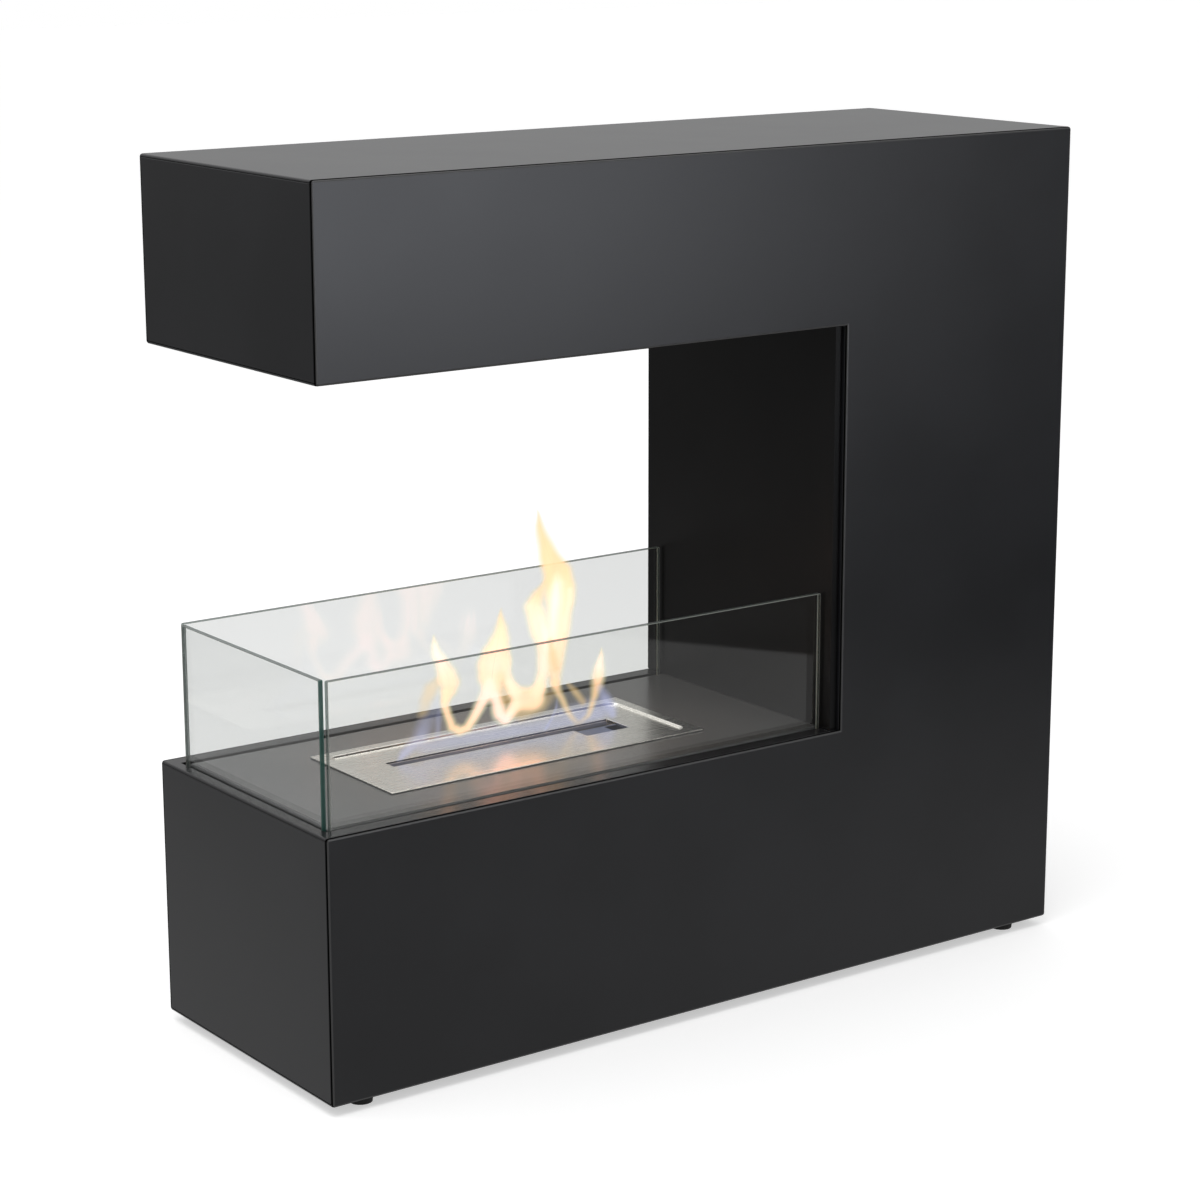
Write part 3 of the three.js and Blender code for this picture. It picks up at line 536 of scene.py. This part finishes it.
# Paths along which the flame is hotter and paler than the strokes say: points (x, z, half width, amount).
HOT = {
    "main_core": [(-63, 348, 2.5, 0), (-62, 336, 5, 0.8), (-64, 324, 6, 1), (-66, 312, 6.5, 1),
        (-68, 300, 6, 0.9), (-70, 288, 5, 0.6)],
    "main_rim": [(-49, 330, 2.5, 0.5), (-50, 314, 2.5, 0.5), (-54, 298, 2.5, 0.4)],
}

# Paths along which it is cooler, where the far side of a fold shows through.
COOL = {
    "dim_1": [(-70, 292, 2.5, 0.4), (-66, 279, 4, 0.5), (-63, 268, 4, 0.5)],
}

# The blue foot: points (x, z, half width, strength).
FOOT = {
    "foot_left": [(-214, 215, 2, 0.55), (-209, 221, 5, 0.5), (-201, 226, 6.5, 0.42), (-194, 232, 7.5, 0.3),
        (-190, 244, 6.5, 0.16)],
    "foot_veil": [(-190, 233, 7.5, 0.16), (-182, 246, 8.5, 0.14), (-176, 258, 6.5, 0.1)],
    "foot_violet": [(-177, 230, 3, 0.25), (-176, 243, 3, 0.22), (-174, 254, 3, 0.1)],
    "haze": [(-189, 223, 7.5, 0.3), (-147, 223, 10, 0.34), (-99, 221, 11, 0.36), (-59, 220, 11, 0.34),
        (-20, 220, 8.5, 0.34)],
    "haze_right": [(-59, 230, 6.5, 0.22), (-34, 228, 10, 0.3), (-15, 228, 8.5, 0.38)],
    "foot_right": [(-19, 244, 4, 0.3), (-14, 235, 6, 0.42), (-9, 225, 6, 0.5), (-6, 216, 4, 0.5)],
    "arc": [(-74, 218, 1.5, 0.35), (-68, 225, 1.5, 0.4), (-64, 234, 1.5, 0.3), (-63, 241, 1.5, 0.12)],
}

# From cool edge to hot core. Red goes past white, as it does in a flame, and shows in reflections.
FLAME_COLOURS = np.array([[1.1, 0.66, 0.26], [1.4, 0.80, 0.41], [1.9, 0.96, 0.58],
                          [2.2, 1.07, 0.76], [2.5, 1.15, 1.00]])
FOOT_COLOUR = np.array([0.60, 0.64, 1.02])

# About how much shorter a length along X looks, from the camera, than one along Z.
SQUEEZE = 0.82

# The way the camera looks.
ALONG_VIEW = np.array([0.5714, 0.7867, -0.2337])


def smooth(t):
    t = np.clip(t, 0, 1)
    return t * t * (3 - 2 * t)


def follow(points, x, z):
    """Distance of every place from a stroke's line, and the stroke's own values there."""
    points = np.array(points, float)
    closest = np.full_like(x, 1e9)
    values = np.zeros((*x.shape, points.shape[1] - 2))
    for a, b in zip(points[:-1], points[1:]):
        dx, dz = (b[0] - a[0]) * SQUEEZE, b[1] - a[1]
        t = np.clip(((x - a[0]) * SQUEEZE * dx + (z - a[1]) * dz) / (dx * dx + dz * dz), 0, 1)
        away = np.hypot((x - a[0]) * SQUEEZE - t * dx, z - a[1] - t * dz)
        own = a[2:] + t[..., None] * (b[2:] - a[2:])
        nearer = away - own[..., 0] < closest
        closest = np.where(nearer, away - own[..., 0], closest)
        values = np.where(nearer[..., None], own, values)
    return closest + values[..., 0], values


def body_fields(x, z):
    """How much of the flame covers every place, and how hot it is there."""
    clear, shallow = np.ones_like(x), np.ones_like(x)
    heat_sum, weight = np.zeros_like(x), np.full_like(x, 1e-6)
    for points in BODY.values():
        away, own = follow(points, x, z)
        width, strength, heat = own[..., 0], own[..., 1], own[..., 2]
        soft = np.minimum(7.5, 1.0 + 1.15 * width)
        cover = strength * smooth((width + 0.32 * soft - away) / soft)
        inner = smooth((width - away) / (0.8 * width))
        clear *= 1 - cover
        shallow *= 1 - inner * strength
        heat_sum += (cover ** 2 + 1e-7 * strength) * heat
        weight += cover ** 2
    heat = heat_sum / weight
    for points in HOT.values():
        away, own = follow(points, x, z)
        heat += own[..., 1] * smooth(1 - away / (1.6 * own[..., 0])) * (1 - heat) * 0.9
    for points in COOL.values():
        away, own = follow(points, x, z)
        heat -= own[..., 1] * smooth(1 - away / (1.5 * own[..., 0])) * heat
    return 1 - clear, heat * (0.82 + 0.18 * (1 - shallow))


def foot_fields(x, z):
    clear = np.ones_like(x)
    for points in FOOT.values():
        away, own = follow(points, x, z)
        clear *= 1 - own[..., 1] * smooth(1 - away / (1.25 * own[..., 0]))
    return 1 - clear


def flame_colour(heat):
    place = np.clip(heat, 0, 0.999) * (len(FLAME_COLOURS) - 1)
    low = place.astype(int)
    share = (place - low)[..., None]
    return FLAME_COLOURS[low] * (1 - share) + FLAME_COLOURS[low + 1] * share


def flame_material():
    """The flame's light and its transparency, both from the sheets' own colour attribute."""
    material, s = new_material("flame")
    colour = s.add("ShaderNodeAttribute", 0, _attribute_name="fire_look")
    cover = s.add("ShaderNodeAttribute", 3, _attribute_name="fire_look")
    here = s.place((1.0, 1.0, 0.30))
    flicker = s.ramp(s.noise(here, 70.0, 2.0), 0.25, 0.75, 0.96, 1.03)
    glow = s.add("ShaderNodeEmission", Color=colour, Strength=flicker)
    through = s.add("ShaderNodeBsdfTransparent", Color=(1.0, 1.0, 1.0))
    s.surface(s.add("ShaderNodeMixShader", in0=cover, in1=through, in2=glow))
    return material


def flame_sheet(name, points, colour, cover, material):
    """A sheet of the flame from a grid of points in millimetres. Where it has no glow it has no faces, and
    where it is thin its red stays at white, so that its edge has no pink line."""
    rows, columns = cover.shape
    red = colour[..., 0]
    red = np.where(red > 1, 1 + (red - 1) * cover ** 2, red)
    colour = np.concatenate([red[..., None], colour[..., 1:]], -1)
    shown = cover.reshape(-1) > 0.004
    faces = [f for f in grid_faces(columns, rows) if shown[list(f)].any()]
    used = sorted({i for f in faces for i in f})
    number = {old: new for new, old in enumerate(used)}
    faces = [tuple(number[i] for i in f) for f in faces]
    piece = mesh_object(name, points.reshape(-1, 3)[used] * MM, faces, material)
    paint_layer = piece.data.color_attributes.new("fire_look", "FLOAT_COLOR", "POINT")
    rgba = np.concatenate([colour.reshape(-1, 3), cover.reshape(-1, 1)], 1)[used]
    paint_layer.data.foreach_set("color", rgba.astype(np.float32).reshape(-1))
    piece.visible_shadow = False
    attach(piece, "burner")
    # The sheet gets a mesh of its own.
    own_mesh(piece)


def folded(x, z, start, fold, phase):
    """Points of a sheet that stands in the slot and folds to and fro as it rises."""
    rise = smooth((z - deck) / 45.0)
    depth = start + fold * rise * np.sin(x / 15.0 + z / 34.0 + phase)
    return np.stack([x, np.full_like(x, slot_y), z], -1) + depth[..., None] * ALONG_VIEW


def flame_fin(name, points, material):
    """A tongue's second sheet, across the first one, so that the tongue has a body from every side."""
    points = np.array(points, float)
    run = np.r_[0, np.cumsum(np.hypot(*np.diff(points[:, :2], axis=0).T))]
    places = np.arange(0, run[-1], 1.5)
    spine = np.stack([np.interp(places, run, column) for column in points.T], -1)
    across = np.linspace(-1, 1, 15)
    s, t = np.meshgrid(spine[:, 2] * 0.9 + 0.6, across, indexing="ij")
    middle = np.stack([spine[:, 0], np.full(len(spine), slot_y), spine[:, 1]], -1)
    grid = middle[:, None, :] + (s * t)[..., None] * ALONG_VIEW
    fade = smooth((places - 2) / 14)[:, None] * smooth((places[-1] - places) / 14)[:, None]
    cover = spine[:, 3:4] * fade * smooth((1 - np.abs(t)) / 0.7)
    heat = spine[:, 4:5] * (0.5 + 0.5 * smooth((1 - np.abs(t)) / 0.8))
    flame_sheet(name, grid, flame_colour(heat), cover, material)


def flame():
    material = flame_material()
    x, z = np.meshgrid(np.arange(-224.0, 4.0, 1.25), np.arange(deck, 404.0, 1.25))
    rise = smooth((z - deck) / 12.0)
    sway_x = rise * (0.7 * np.sin(z / 9.0 + x / 31.0) + 0.4 * np.sin(z / 4.3 - x / 17.0 + 2.0))
    sway_z = rise * 0.6 * np.sin(x / 8.0 + z / 19.0 + 1.0)
    cover, heat = body_fields(x + sway_x, z + sway_z)
    flame_sheet("flame_body", folded(x, z, 0.0, 5.5, 2.0), flame_colour(heat), cover, material)
    cover = 0.9 * foot_fields(x + sway_x, z + sway_z) * smooth((z - deck + 0.4) / 5.0)
    colour = np.broadcast_to(FOOT_COLOUR, (*x.shape, 3))
    flame_sheet("flame_foot", folded(x, z, 2.0, 2.0, 0.4), colour, cover, material)
    for name in ("main_tongue", "left_lobe", "centre_tongue", "left_tongue", "right_tongue"):
        flame_fin("flame_" + name, BODY[name], material)


flame()


# ---------------------------------------------------------------- stage, light and camera

def front_box(s, way):
    """A soft box that stands in front, a little to the right: how much of it lies in a direction."""
    towards = (math.sin(BOX_ANGLE), -math.cos(BOX_ANGLE), 0.0)
    facing = s.add("ShaderNodeVectorMath", 1, in0=way, in1=towards, _operation="DOT_PRODUCT")
    return s.ramp(facing, 0.94, 0.975)


def white_sheet(s, here):
    """The white sheet that the object stands on in reflections. It ends along a line, ahead and to the
    right."""
    past = s.add("ShaderNodeVectorMath", 1, in0=here, in1=(0.84, -0.54, 0.0), _operation="DOT_PRODUCT")
    return s.ramp(past, 1.155, 1.180, 1.0, 0.0)


BOX_ANGLE = math.radians(20)


def floor():
    """A pale floor. To the camera it is white where nothing shades it; in reflections it is greyer."""
    material, s = new_material("floor")
    is_camera = s.add("ShaderNodeLightPath", 0)
    is_glossy = s.add("ShaderNodeLightPath", 3)
    lit = s.add("ShaderNodeBsdfDiffuse", Color=(0.70, 0.70, 0.70))
    lift = s.add("ShaderNodeEmission", Color=(1.0, 1.0, 1.0), Strength=s.math("MULTIPLY", is_camera, 0.50))
    seen = s.add("ShaderNodeAddShader", in0=lit, in1=lift)
    here = s.add("ShaderNodeNewGeometry", 0)
    way = s.add("ShaderNodeVectorMath", 0, in0=here, _operation="NORMALIZE")
    away = s.add("ShaderNodeVectorMath", 1, in0=here, _operation="LENGTH")
    box = s.math("MULTIPLY", front_box(s, way), s.ramp(away, 2.2, 6.0))
    sheet = s.math("MULTIPLY", s.ramp(away, 0.3, 2.2, 0.47, 0.17), white_sheet(s, here))
    gloss = s.math("ADD", s.math("ADD", 0.05, sheet), s.math("MULTIPLY", box, 6.6))
    tint = s.mix_colour(box, (1.0, 1.0, 1.0), (0.94, 0.98, 1.08))
    mirrored = s.add("ShaderNodeEmission", Color=tint, Strength=gloss)
    s.surface(s.add("ShaderNodeMixShader", in0=is_glossy, in1=seen, in2=mirrored))
    reach = 14.0
    corners = [(-reach, -reach, 0), (reach, -reach, 0), (reach, reach, 0), (-reach, reach, 0)]
    ground = mesh_object("floor", corners, [(0, 1, 2, 3)], material)


def world():
    """White to the camera and through glass; to everything else, a soft studio: pale behind, a bright box
    in front, grey elsewhere. Strips overhead and beside the camera show only in reflections, on edges."""
    sky = bpy.data.worlds.new("studio")
    bpy.context.scene.world = sky
    s = Shader(sky)
    is_camera = s.add("ShaderNodeLightPath", 0)
    is_through = s.add("ShaderNodeLightPath", 6)
    plain = s.math("MAXIMUM", is_camera, is_through)
    way = s.add("ShaderNodeTexCoord", 0)
    behind = s.ramp(s.add("ShaderNodeSeparateXYZ", 1, Vector=way), -0.15, 0.35)
    height = s.add("ShaderNodeSeparateXYZ", 2, Vector=way)
    level = s.math("ADD", 0.165, s.math("MULTIPLY", behind, s.ramp(height, 0.03, 0.22, 0.31, 0.43)))
    level = s.math("ADD", level, s.math("MULTIPLY", s.ramp(height, 0.1, 0.75), 0.45))
    level = s.math("ADD", level, s.math("MULTIPLY", front_box(s, way), 2.4))
    beside = s.add("ShaderNodeVectorMath", 1, in0=way, in1=(-0.81, -0.59, 0.0), _operation="DOT_PRODUCT")
    strips = s.ramp(beside, 0.95, 0.985)
    overhead = s.math("MULTIPLY", s.ramp(height, 0.6, 0.75), 1.7)
    strips = s.math("ADD", overhead, s.math("MULTIPLY", strips, 1.4))
    level = s.math("ADD", level, s.math("MULTIPLY", strips, s.add("ShaderNodeLightPath", 3)))
    light = s.add("ShaderNodeBackground", Color=(1.0, 1.0, 1.0), Strength=level)
    white = s.add("ShaderNodeBackground", Color=(1.0, 1.0, 1.0), Strength=1.0)
    s.surface(s.add("ShaderNodeMixShader", in0=plain, in1=light, in2=white), "ShaderNodeOutputWorld")


def lamp(name, kind, place, target, power, colour=(1.0, 1.0, 1.0), **settings):
    light = bpy.data.lights.new(name, kind)
    light.energy = power
    light.color = colour
    for key, value in settings.items():
        setattr(light, key, value)
    holder = bpy.data.objects.new(name, light)
    holder.location = place
    holder.rotation_euler = (Vector(target) - Vector(place)).to_track_quat("-Z", "Y").to_euler()
    bpy.context.scene.collection.objects.link(holder)
    return holder


def camera():
    data = bpy.data.cameras.new("camera")
    data.lens = 92.17
    data.sensor_width = 36.0
    data.clip_end = 100.0
    holder = bpy.data.objects.new("camera", data)
    right = Vector((0.808873, -0.587981, -0.001849))
    up = Vector((0.138837, 0.187937, 0.972319))
    back = Vector((-0.571357, -0.786739, 0.233651))
    turn = Matrix((right, up, back)).transposed().to_4x4()
    holder.matrix_world = Matrix.Translation((-1.43823, -1.94463, 0.89796)) @ turn
    bpy.context.scene.collection.objects.link(holder)
    bpy.context.scene.camera = holder


floor()
world()
softbox = lamp("softbox", "AREA", (-0.9, -0.6, 2.6), (0, 0, 0.2), 26.0, size=1.6)
for number, place in enumerate([(-0.070, 0.009, 0.300), (-0.125, 0.009, 0.265), (-0.165, 0.009, 0.275)]):
    glow = lamp(f"flame_glow_{number}", "POINT", place, (0, 0, 0), 0.22, (1.0, 0.70, 0.50),
                shadow_soft_size=0.012)
    glow.visible_glossy = False
camera()

bpy.context.scene.view_settings.view_transform = "Standard"

bpy.context.view_layer.update()
